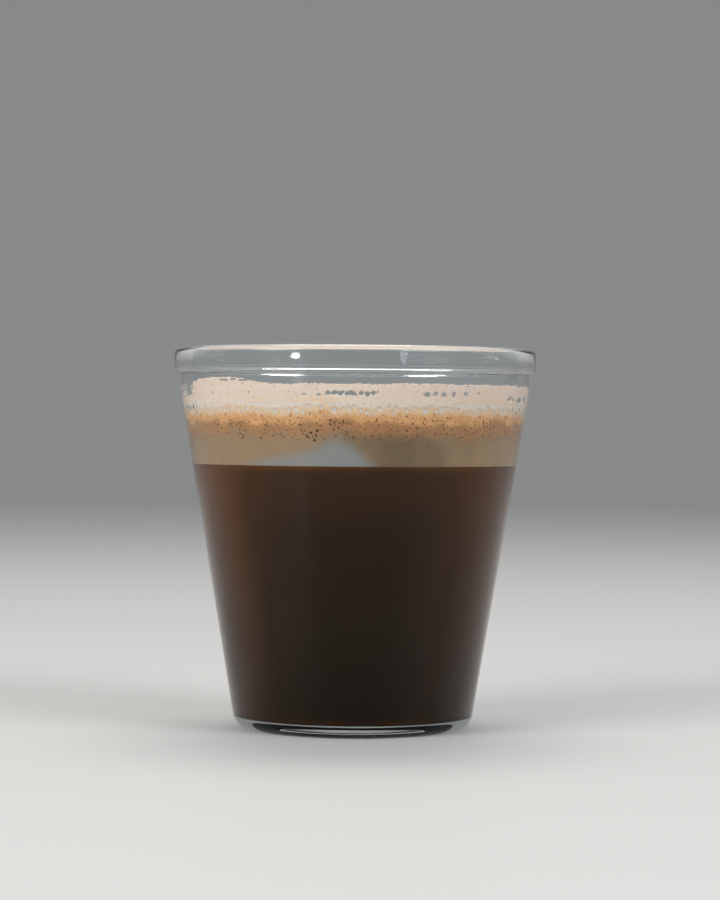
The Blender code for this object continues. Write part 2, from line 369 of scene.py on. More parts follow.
class Graph:
    """Short ways to place and join shader nodes in one tree."""

    def __init__(self, tree):
        self.tree = tree
        self.nodes = tree.nodes
        self.links = tree.links

    def add(self, kind, values=(), **options):
        node = self.nodes.new(kind)
        for option, value in options.items():
            setattr(node, option, value)
        for socket, value in dict(values).items():
            if isinstance(value, bpy.types.NodeSocket):
                self.links.new(value, node.inputs[socket])
            else:
                node.inputs[socket].default_value = value
        return node

    def math(self, operation, first, second=0.0, clamp=False):
        node = self.add("ShaderNodeMath", {0: first, 1: second}, operation=operation, use_clamp=clamp)
        return node.outputs[0]

    def mix(self, share, first, second):
        return self.add("ShaderNodeMix", {0: share, 6: first, 7: second}, data_type="RGBA").outputs[2]

    def group(self, tree, values):
        return self.add("ShaderNodeGroup", values, node_tree=tree)

    def span(self, value, low, high, to_low=0.0, to_high=1.0):
        """The value's place between low and high, smoothed, on a new range."""
        node = self.add("ShaderNodeMapRange", {0: value, 1: low, 2: high, 3: to_low, 4: to_high})
        node.interpolation_type = "SMOOTHSTEP"
        return node.outputs[0]

    def attribute(self, name):
        return self.add("ShaderNodeAttribute", attribute_name=name).outputs["Fac"]

    def place(self):
        return self.add("ShaderNodeTexCoord").outputs["Object"]

    def noise(self, scale, detail=2.0, vector=None):
        values = {"Scale": scale, "Detail": detail}
        values["Vector"] = self.place() if vector is None else vector
        return self.add("ShaderNodeTexNoise", values).outputs["Fac"]


def rgba(value):
    return (*value, 1.0)


def new_material(name, roughness, specular=0.5):
    """A material with a Principled BSDF, returned with its graph and that shader."""
    material = bpy.data.materials.new(name)
    material.use_nodes = True
    shader = material.node_tree.nodes["Principled BSDF"]
    shader.inputs["Roughness"].default_value = roughness
    shader.inputs["Specular IOR Level"].default_value = specular
    return material, Graph(material.node_tree), shader


def soften(shader, weight, radius):
    """Lets light spread under the surface by the given radii in metres."""
    shader.inputs["Subsurface Weight"].default_value = weight
    shader.inputs["Subsurface Radius"].default_value = radius
    shader.inputs["Subsurface Scale"].default_value = 1.0


def new_group(name, inputs, outputs):
    """A shader node group with (name, kind, default) inputs and (name, kind) outputs."""
    tree = bpy.data.node_groups.new(name, "ShaderNodeTree")
    for label, kind, default in inputs:
        socket = tree.interface.new_socket(label, in_out="INPUT", socket_type=kind)
        socket.default_value = default
    for label, kind in outputs:
        tree.interface.new_socket(label, in_out="OUTPUT", socket_type=kind)
    graph = Graph(tree)
    return graph, graph.add("NodeGroupInput"), graph.add("NodeGroupOutput")


def froth_group():
    """Fine bubbles: cells of two sizes with darker walls, which put out a colour and a height."""
    found = bpy.data.node_groups.get("fine_bubbles")
    if found:
        return found
    inputs = (
        ("Color", "NodeSocketColor", (1.0, 1.0, 1.0, 1.0)),
        ("Wall Color", "NodeSocketColor", (0.5, 0.4, 0.3, 1.0)),
        ("Cells", "NodeSocketFloat", 2600.0),
        ("Contrast", "NodeSocketFloat", 0.4),
    )
    outputs = (("Color", "NodeSocketColor"), ("Height", "NodeSocketFloat"))
    graph, given, out = new_group("fine_bubbles", inputs, outputs)
    place = graph.place()
    fine = graph.add("ShaderNodeTexVoronoi", {"Vector": place, "Scale": given.outputs["Cells"]})
    coarse_scale = graph.math("MULTIPLY", given.outputs["Cells"], 0.42)
    coarse = graph.add("ShaderNodeTexVoronoi", {"Vector": place, "Scale": coarse_scale})
    fine_wall = graph.span(fine.outputs["Distance"], 0.35, 0.75)
    coarse_wall = graph.span(coarse.outputs["Distance"], 0.45, 0.8)
    patch = graph.span(graph.noise(420.0, 3.0, place), 0.4, 0.65)
    wall = graph.math("MAXIMUM", fine_wall, graph.math("MULTIPLY", coarse_wall, patch))
    share = graph.math("MULTIPLY", wall, given.outputs["Contrast"], clamp=True)
    mixed = graph.mix(share, given.outputs["Color"], given.outputs["Wall Color"])
    graph.links.new(mixed, out.inputs["Color"])
    graph.links.new(graph.math("SUBTRACT", 1.0, wall), out.inputs["Height"])
    return bpy.data.node_groups["fine_bubbles"]


def dots_group():
    """Scattered round dots of unlike sizes: a mask, from the cells whose random value is under the amount."""
    found = bpy.data.node_groups.get("scattered_dots")
    if found:
        return found
    inputs = (
        ("Cells", "NodeSocketFloat", 900.0),
        ("Size", "NodeSocketFloat", 0.2),
        ("Amount", "NodeSocketFloat", 0.4),
    )
    graph, given, out = new_group("scattered_dots", inputs, (("Mask", "NodeSocketFloat"),))
    cells = graph.add("ShaderNodeTexVoronoi", {"Vector": graph.place(), "Scale": given.outputs["Cells"]})
    draws = graph.add("ShaderNodeSeparateColor", {0: cells.outputs["Color"]})
    radius = graph.math("MULTIPLY", given.outputs["Size"], graph.math("ADD", 0.5, draws.outputs[0]))
    inside = graph.math("SUBTRACT", 1.0, graph.math("DIVIDE", cells.outputs["Distance"], radius))
    dot = graph.span(inside, 0.0, 0.45)
    chosen = graph.math("LESS_THAN", draws.outputs[1], given.outputs["Amount"])
    graph.links.new(graph.math("MULTIPLY", dot, chosen), out.inputs["Mask"])
    return bpy.data.node_groups["scattered_dots"]


def glass_material():
    """Clear glass, slightly uneven on its band. Lamps and soft light pass straight through it, dimmed."""
    glass = settings("tumbler")
    material, graph, shader = new_material("clear_glass", 0.0)
    shader.inputs["Specular Tint"].default_value = (glass.gloss, glass.gloss, glass.gloss, 1.0)
    shader.inputs["Base Color"].default_value = rgba(glass.tint)
    shader.inputs["Transmission Weight"].default_value = 1.0
    shader.inputs["IOR"].default_value = 1.5
    smudge = graph.span(graph.noise(160.0, 4.0), 0.56, 0.72, 0.0, 0.05)
    graph.links.new(smudge, shader.inputs["Roughness"])
    height = graph.add("ShaderNodeSeparateXYZ", {0: graph.place()}).outputs["Z"]
    on_band = graph.span(height, glass.collar_low, glass.collar_low + 0.003)
    peel = graph.math("MULTIPLY", graph.noise(1500.0, 2.0), graph.math("MULTIPLY", on_band, 0.05))
    ripple = graph.math("ADD", graph.noise(90.0, 1.0), peel)
    bump = graph.add("ShaderNodeBump", {"Strength": 0.02, "Distance": 0.001, "Height": ripple})
    graph.links.new(bump.outputs[0], shader.inputs["Normal"])
    path = graph.add("ShaderNodeLightPath")
    passing = graph.math("MAXIMUM", path.outputs["Is Shadow Ray"], path.outputs["Is Diffuse Ray"])
    clear = graph.add("ShaderNodeBsdfTransparent", {"Color": rgba(glass.shade)})
    mixed = graph.add("ShaderNodeMixShader", {0: passing, 1: shader.outputs[0], 2: clear.outputs[0]})
    graph.links.new(mixed.outputs[0], graph.nodes["Material Output"].inputs["Surface"])
    return material


def coffee_material():
    """Brown coffee, with painted light and shade: warmer near the foam and towards the sides, a painted glow
    where light comes in, and darker with depth, a painted shade, in upright streaks.
    """
    coffee = settings("coffee")
    material, graph, shader = new_material("brown_coffee", 0.5, 0.0)
    height = graph.add("ShaderNodeSeparateXYZ", {0: graph.place()}).outputs["Z"]
    # Painted light near the top and painted shade with depth, mixed by height
    upper = graph.span(height, coffee.level - 0.021, coffee.level - 0.001)
    lower = graph.span(height, 0.006, coffee.level - 0.018)
    body = graph.mix(lower, rgba(coffee.deep), rgba(coffee.brown))
    body = graph.mix(upper, body, rgba(coffee.warm))
    stretched = graph.add("ShaderNodeMapping", {"Vector": graph.place(), "Scale": (1.0, 1.0, 0.12)})
    streaks = graph.span(graph.noise(70.0, 2.0, stretched.outputs[0]), 0.35, 0.65)
    # Painted glow at the sides: the facing mask, weaker lower down and broken by the streaks, mixes in the
    # side glow colour
    facing = graph.add("ShaderNodeLayerWeight", {"Blend": 0.5}).outputs["Facing"]
    sideways = graph.span(facing, 0.02, 0.30)
    depth = graph.span(height, 0.0, coffee.level, 0.25, 0.9)
    side_light = graph.math("MULTIPLY", sideways, depth)
    kept = graph.math("SUBTRACT", 1.0, graph.math("MULTIPLY", streaks, coffee.streak))
    body = graph.mix(graph.math("MULTIPLY", side_light, kept), body, rgba(coffee.painted_side_glow))
    graph.links.new(body, shader.inputs["Base Color"])
    return material


def foam_material():
    """Milk foam: the zones come from the surface's own attributes, with fine bubbles in all of them.

    Light spreads under the surface, but not in what is marked small, which it would tint through.
    """
    foam = settings("foam")
    material, graph, shader = new_material("milk_foam", 0.6, 0.1)
    mottle = graph.noise(900.0, 3.0)
    body = graph.mix(graph.attribute("shade"), rgba(foam.beige), rgba(foam.shade))
    for zone in ("tan", "crema", "cream", "white", "milk"):
        share = graph.attribute(zone)
        if zone in ("crema", "cream"):
            share = graph.math("MULTIPLY", share, graph.span(mottle, 0.3, 0.6, 0.75, 1.0))
        body = graph.mix(share, body, rgba(getattr(foam, zone)))
    body = graph.mix(graph.math("MULTIPLY", graph.attribute("ring"), 0.45), body, rgba(foam.crema))
    bubbly = graph.group(froth_group(), {
        "Color": body, "Wall Color": rgba(foam.tan), "Cells": 2800.0, "Contrast": 0.16,
    })
    dots = graph.group(dots_group(), {
        "Cells": 1200.0, "Size": 0.26, "Amount": graph.attribute("porous"),
    })
    deep = graph.math("MAXIMUM", graph.attribute("pore"), graph.math("MULTIPLY", dots.outputs[0], 0.85))
    body = graph.mix(deep, bubbly.outputs["Color"], rgba(foam.pore))
    graph.links.new(body, shader.inputs["Base Color"])
    bump = graph.add("ShaderNodeBump", {"Strength": 0.25, "Distance": 0.0002})
    graph.links.new(bubbly.outputs["Height"], bump.inputs["Height"])
    graph.links.new(bump.outputs[0], shader.inputs["Normal"])
    soften(shader, SOFTNESS, (0.0010, 0.0007, 0.0005))
    less = graph.math("MULTIPLY", graph.attribute("small"), SOFTNESS)
    graph.links.new(graph.math("SUBTRACT", SOFTNESS, less), shader.inputs["Subsurface Weight"])
    return material


def froth_material():
    """Drying froth: pale, with warm speckles and pinholes above, and as white as the foam below."""
    froth = settings("froth")
    foam = settings("foam")
    material, graph, shader = new_material("dried_froth", 0.7, 0.1)
    height = graph.add("ShaderNodeSeparateXYZ", {0: graph.place()}).outputs["Z"]
    above = graph.span(height, foam.level + 0.0002, foam.level + 0.0016)
    warm = graph.span(graph.noise(1800.0, 3.0), 0.5, 0.62)
    skin = graph.mix(graph.math("MULTIPLY", warm, 0.7), rgba(froth.pale), rgba(froth.warm))
    creamy = graph.span(graph.noise(60.0, 2.0), 0.40, 0.62, 0.1, 0.8)
    body = graph.mix(above, graph.mix(creamy, rgba(foam.white), rgba(foam.cream)), skin)
    contrast = graph.span(above, 0.0, 1.0, 0.6, 0.25)
    bubbly = graph.group(froth_group(), {
        "Color": body, "Wall Color": rgba(froth.warm), "Cells": 2400.0, "Contrast": contrast,
    })
    patchy = graph.math("MULTIPLY", above, graph.span(graph.noise(260.0), 0.42, 0.62, 0.05, 0.5))
    amount = graph.math("MAXIMUM", patchy, graph.attribute("thin"))
    dots = graph.group(dots_group(), {"Cells": 1500.0, "Size": 0.22, "Amount": amount})
    body = graph.mix(graph.math("MULTIPLY", dots.outputs[0], 0.8), bubbly.outputs["Color"], rgba(froth.speck))
    graph.links.new(body, shader.inputs["Base Color"])
    bump = graph.add("ShaderNodeBump", {"Strength": 0.3, "Distance": 0.0002})
    graph.links.new(bubbly.outputs["Height"], bump.inputs["Height"])
    graph.links.new(bump.outputs[0], shader.inputs["Normal"])
    soften(shader, 0.3, (0.0008, 0.0006, 0.0005))
    return material


def inner_floor(floor_lift, wall_lift):
    """The flat inner floor and its round corner, each point moved outwards from the corner's middle.

    The move is floor_lift below the angles of MIRROR_TURN, wall_lift above them, and a ramp between.
    """
    glass = settings("tumbler")
    slope = taper(glass)
    height = glass.base + glass.base_round
    reach = float(inner_radius(height)) - glass.base_round / math.cos(slope)
    turn = np.linspace(-90.0, -math.degrees(slope), 25)
    radius = glass.base_round + np.interp(turn, MIRROR_TURN, (floor_lift, wall_lift))
    turn = np.radians(turn)
    corner = np.stack([reach + radius * np.cos(turn), height + radius * np.sin(turn)], axis=1)
    along = np.array([0.3, 0.6, 0.9]) * reach
    flat = np.stack([along, np.full(3, glass.base - floor_lift)], axis=1)
    return np.concatenate([flat, corner])


def tumbler_profile(glass):
    """Up the inside, over the rim and down the outside, as arcs joined by straight lines."""
    rim = TUMBLER_HIGH.x
    top = TUMBLER_HIGH.z
    collar = rim - glass.band_step
    slope = taper(glass)
    inside = collar - glass.wall
    inner_bend = (inside + glass.wall / math.cos(slope) - glass.foot_line) / math.tan(slope)
    band_low = top - glass.band_height
    shoulder = top - glass.band_top_round
    elbow = band_low + glass.band_lower_round
    edge = rim - glass.band_barrel
    swell = np.linspace(1.0, -1.0, 7)[1:-1]
    middle = (shoulder + elbow) / 2
    foot_reach = glass.foot_line + glass.foot_round * (math.tan(slope) - 1 / math.cos(slope))
    ring_inside = foot_reach - glass.foot_ring
    under = np.linspace(1.0, 0.0, 9)[1:-1]
    return np.concatenate([
        inner_floor(0.0, 0.0),
        [[inside, inner_bend]],
        arc((inside + glass.band_top_round, shoulder), glass.band_top_round, 180, 90, 10),
        arc((edge - glass.band_top_round, shoulder), glass.band_top_round, 90, 0, 10),
        np.stack([rim - glass.band_barrel * swell**2, middle + swell * (shoulder - middle)], axis=1),
        arc((edge - glass.band_lower_round, elbow), glass.band_lower_round, 0, -90, 8),
        arc((collar + glass.band_fillet, band_low - glass.band_fillet), glass.band_fillet, 90, 180, 6),
        [[collar, glass.collar_low]],
        arc((foot_reach, glass.foot_round), glass.foot_round, -math.degrees(slope), -90, 14),
        [[ring_inside, 0.0]],
        np.stack([ring_inside * under, glass.push_up * (1 - under**3)], axis=1),
    ])


class CAPPUCCINO_OT_tumbler(bpy.types.Operator):
    """Make the clear glass tumbler, turned from its profile"""

    bl_idname = "cappuccino.tumbler"
    bl_label = "Tumbler"

    def execute(self, context):
        glass = settings("tumbler")
        profile = tumbler_profile(glass)
        rings = ring_points(profile[:, 0], profile[:, 1], glass.sides)
        piece = closed_rings("tumbler_glass", rings, glass.base, glass.push_up)
        piece.data.set_sharp_from_angle(angle=math.radians(40))
        finish_piece(piece, glass_material(), "clear_glass", "tumbler")
        return {"FINISHED"}


class CAPPUCCINO_OT_coffee(bpy.types.Operator):
    """Make the coffee, which reaches just into the wall and leaves a film of air over the base"""

    bl_idname = "cappuccino.coffee"
    bl_label = "Coffee"

    def execute(self, context):
        coffee = settings("coffee")
        floor = inner_floor(-FLOOR_AIR, IN_WALL)
        side = np.linspace(coffee.level, floor[-1, 1], 24)[:-1]
        side_radius = inner_radius(side) + IN_WALL
        profile = np.concatenate([
            [[side_radius[0] * share, coffee.level] for share in (0.3, 0.6, 0.9)],
            np.stack([side_radius, side], axis=1),
            floor[::-1],
        ])
        rings = ring_points(profile[:, 0], profile[:, 1], coffee.sides)
        middle = settings("tumbler").base + FLOOR_AIR
        piece = closed_rings("coffee_body", rings, coffee.level, middle)
        finish_piece(piece, coffee_material(), "brown_coffee", "coffee")
        return {"FINISHED"}


def scattered(draw, amount, radius, heights, gap, given):
    """(turn, height, radius) rows of bubbles on the wall: the given ones, then random ones clear of them."""
    reach = float(inner_radius(np.mean(heights)))
    kept = np.array(given).reshape(-1, 3)
    for _ in range(amount * SCATTER_TRIES):
        if len(kept) >= amount:
            break
        turn = draw.uniform(0, math.tau)
        height = draw.uniform(*heights)
        size = radius[0] + (radius[1] - radius[0]) * draw.random() ** 2
        across = (turn - kept[:, 0] + math.pi) % math.tau - math.pi
        apart = np.hypot(across * reach, height - kept[:, 1])
        if (apart > (size + kept[:, 2]) * gap).all():
            kept = np.vstack([kept, [turn, height, size]])
    return kept


def stamp(bubbles, heights, sides, reach, shape):
    """The largest value of shape(distance / radius) over the bubbles, on a grid of heights and turns."""
    field = np.zeros((len(heights), sides))
    step = math.tau / sides
    row_step = abs(heights[1] - heights[0])
    for turn, height, radius in bubbles:
        row = int(round((heights[0] - height) / row_step))
        half_rows = int(radius / row_step) + 1
        rows = np.arange(max(0, row - half_rows), min(len(heights), row + half_rows + 1))
        middle = int(round(turn / step))
        half = int(radius / (reach * step)) + 1
        side = np.arange(middle - half, middle + half + 1)
        across = (side * step - turn) * reach
        if not len(rows):
            continue
        share = np.hypot(across[None, :], (heights[rows] - height)[:, None]) / radius
        window = np.ix_(rows, side % sides)
        field[window] = np.maximum(field[window], shape(share))
    return field


def bowl(share):
    """Depth of a round hollow: a cap of a ball, 0 from its edge outwards."""
    return np.sqrt(np.clip(1 - share**2, 0, 1))


def disc(share):
    """A round spot with a soft edge."""
    return smooth_step(1.0, 0.7, share)


def dished(foam, share):
    """Height of the foam's top: the level less the edge's drop, and less a dip that fades to the edge."""
    return foam.level - EDGE_DROP - foam.dip * (1 - share**2)


def bump_round(turn, degrees, width):
    """1 round a direction and 0 away from it: exp(-(angle / width)^4)."""
    away = (turn - math.radians(degrees) + math.pi) % math.tau - math.pi
    return np.exp(-((away / math.radians(width)) ** 4))


def largest_bubbles():
    """(turn, height, radius) rows of the largest bubbles against the glass, all at one height."""
    return [(math.radians(degrees), LARGEST_BUBBLE_Z, LARGEST_BUBBLE_RADIUS) for degrees in LARGEST_BUBBLES]


def crowded_pores():
    """(turn, height, radius) rows of the pores that crowd low on the near side, in the solid's own spiral."""
    index = np.arange(CROWD_PORES)
    away = CROWD_REACH * np.sqrt((index + 0.5) / CROWD_PORES)
    turn = math.radians(CROWD_TURN) + away * np.cos(index * GOLDEN_TURN) / inner_radius(CROWD_Z)
    height = CROWD_Z + away * np.sin(index * GOLDEN_TURN)
    return np.stack([turn, height, np.full(CROWD_PORES, CROWD_PORE_RADIUS)], axis=1)


def ring(share):
    """A thin ring near the edge of a bubble."""
    return np.exp(-(((share - 0.9) / 0.16) ** 2))


class CAPPUCCINO_OT_foam(bpy.types.Operator):
    """Make the milk foam, with the hollows of its bubbles against the glass and its zones of colour"""

    bl_idname = "cappuccino.foam"
    bl_label = "Milk foam"

    def execute(self, context):
        foam = settings("foam")
        bottom = settings("coffee").level
        top_share = np.sin(np.linspace(0.06, 1.0, 18) * math.pi / 2)
        edge = float(inner_radius(foam.level)) + IN_WALL
        rows = int((foam.level - bottom) / foam.row)
        side_height = np.linspace(foam.level - EDGE_DROP, bottom, rows)
        draw = np.random.default_rng(SCATTER_SEED)

        large = scattered(draw, *LARGE_SCATTER, largest_bubbles())
        small = scattered(draw, *SMALL_SCATTER, ())
        pores = scattered(draw, *PORE_SCATTER, crowded_pores())
        reach = float(inner_radius(SCATTER_Z))
        grid = (side_height, foam.sides, reach)
        large_bowl = stamp(large, *grid, bowl)
        small_bowl = stamp(small, *grid, bowl) * (large_bowl == 0)
        pore = stamp(pores, *grid, disc)

        side_radius = np.broadcast_to((inner_radius(side_height) + IN_WALL)[:, None], large_bowl.shape)
        depth = LARGE_DEPTH * large_bowl + SMALL_DEPTH * small_bowl + PORE_DEPTH * pore
        side_rings = ring_points(side_radius - depth, side_height, foam.sides)

        top_radius = top_share * edge
        top_height = dished(foam, top_share)[:, None] + np.zeros(foam.sides)
        top_rings = ring_points(top_radius[:, None] + np.zeros(foam.sides), top_height, foam.sides)
        flat = top_rings * (1.0, 1.0, 0.0)
        calm = smooth_step(1.0, 0.9, top_share)[:, None]
        top_rings[:, :, 2] += foam.relief * calm * waves(flat, 0.03, 5)
        top_rings[:, :, 2] += FINE_RELIEF * calm * waves(flat, 0.004, 6)

        low_share = np.array([0.9, 0.6, 0.3])
        low_edge = float(inner_radius(bottom))
        low_rings = ring_points(low_share * low_edge, np.full(3, bottom), foam.sides)
        rings = np.concatenate([top_rings, side_rings[1:], low_rings])
        piece = closed_rings("foam_body", rings, dished(foam, 0.0), bottom)

        zones = self.zones(foam, rings)
        on_side = slice(len(top_rings), len(top_rings) + len(side_rings) - 1)
        zones["pore"] = np.zeros(rings.shape[:2])
        zones["ring"] = np.zeros(rings.shape[:2])
        zones["pore"][on_side] = pore[1:]
        zones["ring"][on_side] = stamp(large, *grid, ring)[1:]
        whiter = np.maximum(0.95 * stamp(large, *grid, disc), 0.35 * stamp(small, *grid, disc))
        zones["white"][on_side] = np.maximum(zones["white"][on_side], whiter[1:])
        for name, field in zones.items():
            set_attribute(piece, name, np.concatenate([field.ravel(), [field[0, 0], field[-1, 0]]]))
        finish_piece(piece, foam_material(), "milk_foam", "foam")
        return {"FINISHED"}

    def zones(self, foam, rings):
        """Shares of each colour: height bands with wavy borders, darker lobes, and a soft mound of milk."""
        x, y, height = rings[:, :, 0], rings[:, :, 1], rings[:, :, 2]
        turn = np.arctan2(y, x)
        slow = waves(rings, 0.014, 21)
        quick = waves(rings, 0.0035, 22)
        line = height + 0.0005 * slow + 0.0003 * quick
        patches = waves(rings, 0.006, 23)
        mottle = np.clip(0.5 * patches + 0.6 * waves(rings, 0.0018, 24), -1, 1)
        border = line + 0.0005 * patches
        for degrees, width, depth in SUNK_STRETCHES:
            border = border + depth * bump_round(turn, degrees, width)
        mound = np.zeros(turn.shape)
        for middle, width, rise in MILK_MOUNDS:
            mound += rise * np.exp(-(((x - middle) / width) ** 2))
        near = smooth_step(0.0, -0.01, y)
        up = height - settings("coffee").level
        darker = np.zeros(turn.shape)
        for degrees, power in DARK_LOBES:
            darker += np.clip(np.cos(turn - math.radians(degrees)), 0, 1) ** power
        return {
            "white": smooth_step(*ZONE_BANDS["white"], line),
            "cream": smooth_step(*ZONE_BANDS["cream"], line),
            "crema": smooth_step(*ZONE_BANDS["crema"], border) * (0.85 + 0.15 * mottle),
            "tan": smooth_step(*ZONE_BANDS["tan"], border) * (0.85 + 0.15 * mottle),
            "shade": np.clip(darker + 0.15 * patches, 0, 1),
            "milk": 0.9 * near * smooth_step(0.0008, -0.0036, up - mound + 0.0005 * slow),
            "porous": smooth_step(*POROUS_FROM, line) * smooth_step(*POROUS_TO, line),
        }


def bubble_places(foam, edge):
    """(reach, turn, radius) rows of the bubbles on the foam: an uneven ring by the glass, then a spiral."""
    draw = random.Random(BUBBLE_SEED)
    found = []
    for i in range(foam.ring_bubbles):
        radius = draw.uniform(*BUBBLE_RADIUS)
        turn = math.tau * (i + draw.uniform(-0.15, 0.15)) / foam.ring_bubbles
        found.append((edge - radius - draw.uniform(0.0, BUBBLE_STRAY), turn, radius))
    for i in range(foam.inner_bubbles):
        share = math.sqrt((i + 0.5) / foam.inner_bubbles)
        reach = INNER_REACH[0] + share * (INNER_REACH[1] - INNER_REACH[0])
        found.append((reach, i * GOLDEN_TURN, draw.uniform(*INNER_BUBBLE_RADIUS)))
    return np.array(found)


class CAPPUCCINO_OT_bubbles(bpy.types.Operator):
    """Make the low round bubbles that stand on the foam, as balls sunk into it"""

    bl_idname = "cappuccino.bubbles"
    bl_label = "Bubbles on the foam"

    def execute(self, context):
        foam = settings("foam")
        wall = float(inner_radius(foam.level))
        reach, turn, radius = bubble_places(foam, wall - BUBBLE_CLEARANCE).T
        middle = foam.level - foam.dip * (1 - (reach / wall) ** 2) - BUBBLE_SINK * radius
        centres = np.stack([reach * np.cos(turn), reach * np.sin(turn), middle], axis=1)
        down = np.linspace(0.0, math.pi, BALL_ROWS + 2)[1:-1]
        rings = ring_points(np.sin(down), np.cos(down), BALL_SIDES)
        ball = np.concatenate([rings.reshape(-1, 3), [[0, 0, 1], [0, 0, -1]]])
        points = (centres[:, None, :] + radius[:, None, None] * ball).reshape(-1, 3)
        first = (np.arange(len(radius)) * len(ball))[:, None, None]
        ball_faces = ring_faces(BALL_ROWS, BALL_SIDES)
        faces = [(part + first).reshape(-1, part.shape[1]) for part in ball_faces]
        piece = mesh_object("foam_bubbles", points, faces)
        set_attribute(piece, "white", np.ones(len(points)))
        set_attribute(piece, "small", np.ones(len(points)))
        milk_foam = bpy.data.objects["foam_body"].data.materials[0]
        finish_piece(piece, milk_foam, "milk_foam", "foam")
        return {"FINISHED"}


def film_top(froth, turn):
    """Height of the skin's upper edge: raised on one stretch, lower on the far side, with short waves."""
    top = froth.top + froth.rise * bump_round(turn, 218, 16) - froth.dip * bump_round(turn, 74, 52)
    for times, height, phase in EDGE_WAVES:
        top = top + height * np.sin(times * turn + phase)
    return top


HoleRun = namedtuple("HoleRun", "first last holes height half_width half_height strength")
HOLE_RUNS = {
    "near row": HoleRun(-99, -84, 8, 0.0809, 0.0007, 0.0005, 1.0),
    "right row": HoleRun(-66, -60, 3, 0.0809, 0.0007, 0.0005, 1.0),
    "faint right row": HoleRun(-56, -45, 3, 0.0811, 0.0006, 0.0006, 0.85),
    "faint left pair": HoleRun(-107, -102, 2, 0.0804, 0.0006, 0.0004, 0.8),
    "left specks": HoleRun(-145, -127, 3, 0.0810, 0.0005, 0.0004, 0.7),
    "left dashes": HoleRun(-139, -130, 3, 0.0840, 0.0012, 0.0002, 1.1),
    "left side": HoleRun(-172, -163, 2, 0.0823, 0.0033, 0.0028, 0.72),
    "right side": HoleRun(-26, -12, 3, 0.0800, 0.0018, 0.0007, 1.0),
    "far gap": HoleRun(12, 12, 1, 0.0803, 0.0056, 0.0014, 1.0),
}


def film_holes():
    """(turn, height, half width, half height, strength) of each hole: runs of even steps, a little off."""
    draw = np.random.default_rng(HOLE_SEED)
    found = []
    for run in HOLE_RUNS.values():
        for degrees in np.linspace(run.first, run.last, run.holes):
            turn = math.radians(degrees + draw.uniform(-0.4, 0.4))
            height = run.height + draw.uniform(-HOLE_RISE, HOLE_RISE)
            half_width = run.half_width * draw.uniform(0.75, 1.3)
            found.append((turn, height, half_width, run.half_height, run.strength))
    return found


def film_field(froth, turn, height):
    """Above 0 where there is froth: full skin less ragged holes, and less a ragged upper edge.

    Each hole is an ellipse with its own place, half width, half height and strength.
    """
    reach = float(inner_radius(HOLE_Z))
    points = np.stack([reach * np.cos(turn), reach * np.sin(turn), height], axis=-1)
    ragged = 0.8 * waves(points, 0.0009, 31, 40) + 0.6 * waves(points, 0.0005, 33, 40)
    rough = waves(points, 0.0030, 32)
    field = np.full(np.shape(turn), 2.0)
    for hole_turn, middle, half_width, half_height, strength in film_holes():
        away = (turn - hole_turn + math.pi) % math.tau - math.pi
        share = np.hypot(away * reach / half_width, (height - middle) / half_height)
        field = np.minimum(field, share - strength + HOLE_RAGGED * ragged)
    below = (film_top(froth, turn) - height) / EDGE_FALL
    return np.minimum(field, below + EDGE_RAGGED * ragged + EDGE_ROUGH * rough)


class CAPPUCCINO_OT_froth(bpy.types.Operator):
    """Make the skin of froth on the glass, with its ragged holes and upper edge"""

    bl_idname = "cappuccino.froth"
    bl_label = "Froth on the glass"

    def execute(self, context):
        froth = settings("froth")
        foam = settings("foam")
        low = foam.level - FILM_OVERLAP
        high = froth.top + froth.rise + FILM_HEADROOM
        sides = int(math.tau * float(inner_radius(high)) / froth.cell)
        rows = int((high - low) / froth.cell)
        turn, height = np.meshgrid(
            np.arange(sides) * math.tau / sides, np.linspace(high, low, rows), indexing="xy"
        )
        field = film_field(froth, turn, height)
        turn, height = self.drawn_to_edge(froth, turn, height, field)
        radius = inner_radius(height) + 0.8 * IN_WALL
        points = np.stack([radius * np.cos(turn), radius * np.sin(turn), height], axis=-1)
        quads = ring_quads(rows, sides)
        inside = (field.ravel()[quads] > 0).sum(axis=1) >= 3
        used, renumbered = np.unique(quads[inside], return_inverse=True)
        quads = renumbered.reshape(-1, 4)
        piece = mesh_object("froth_skin", points.reshape(-1, 3)[used], [quads])
        set_attribute(piece, "thin", smooth_step(1.4, 0.2, field.ravel()[used]))
        solid = piece.modifiers.new("thickness", "SOLIDIFY")
        solid.thickness = froth.thickness
        solid.offset = -1.0
        finish_piece(piece, froth_material(), "dried_froth", "froth_film")
        return {"FINISHED"}

    def drawn_to_edge(self, froth, turn, height, field):
        """Points near the field's zero line step onto it: -field * slope / |slope|^2 in each direction."""
        reach = float(inner_radius(HOLE_Z))
        small = 0.00002
        by_turn = (film_field(froth, turn + small / reach, height) - field) / small
        by_height = (film_field(froth, turn, height + small) - field) / small
        steep = by_turn**2 + by_height**2 + 1e-9
        move_turn = -field * by_turn / steep
        move_height = -field * by_height / steep
        far = np.hypot(move_turn, move_height)
        near = far < 0.6 * froth.cell
        moved_turn = turn + np.where(near, move_turn, 0.0) / reach
        moved_height = height + np.where(near, move_height, 0.0)
        return moved_turn, moved_height


def area_light(name, energy, size, degrees, elevation, distance, tint):
    """A soft lamp that faces the glass from an angle to the camera's left and a height, at a distance."""
    lamp = bpy.data.lights.new(name, "AREA")
    lamp.shape = "ELLIPSE"
    lamp.size, lamp.size_y = size
    lamp.energy = energy
    lamp.color = tint
    made = bpy.data.objects.new(name, lamp)
    bpy.context.scene.collection.objects.link(made)
    turn = math.radians(-90 - degrees)
    rise = math.radians(elevation)
    aim = Vector((0.0, 0.0, 0.05))
    away = Vector((math.cos(turn) * math.cos(rise), math.sin(turn) * math.cos(rise), math.sin(rise)))
    turned = away.to_track_quat("Z", "Y").to_matrix().to_4x4()
    made.matrix_world = Matrix.Translation(aim + away * distance) @ turned


